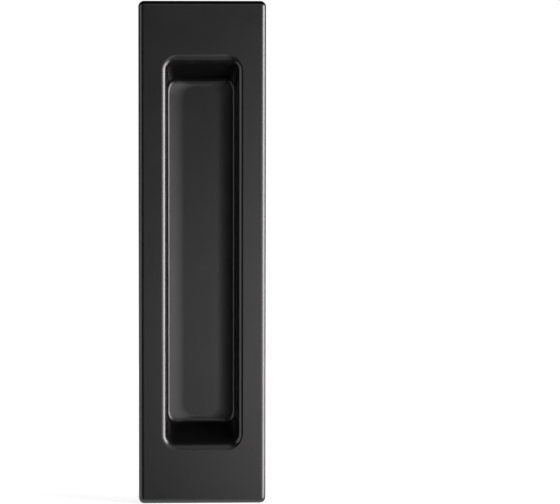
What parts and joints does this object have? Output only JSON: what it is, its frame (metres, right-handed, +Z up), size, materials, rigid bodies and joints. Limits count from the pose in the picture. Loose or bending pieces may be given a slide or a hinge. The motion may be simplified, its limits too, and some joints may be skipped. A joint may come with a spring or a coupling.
{
  "type": "sliding door handle",
  "caption": "Black flush pull for a sliding door: a flat rectangular plate with a long recessed finger pocket that is let into the door leaf.",
  "frame": {"origin": "middle of the plate's back, which lies on the door's face", "axes": "+Z up along the pull's length, +X to the right as seen from the room, +Y into the door"},
  "size_m": [0.04, 0.0125, 0.158],
  "materials": {
    "black_coat": "satin"
  },
  "bodies": {
    "root": {"flush_pull": "black_coat"}
  },
  "joints": []
}
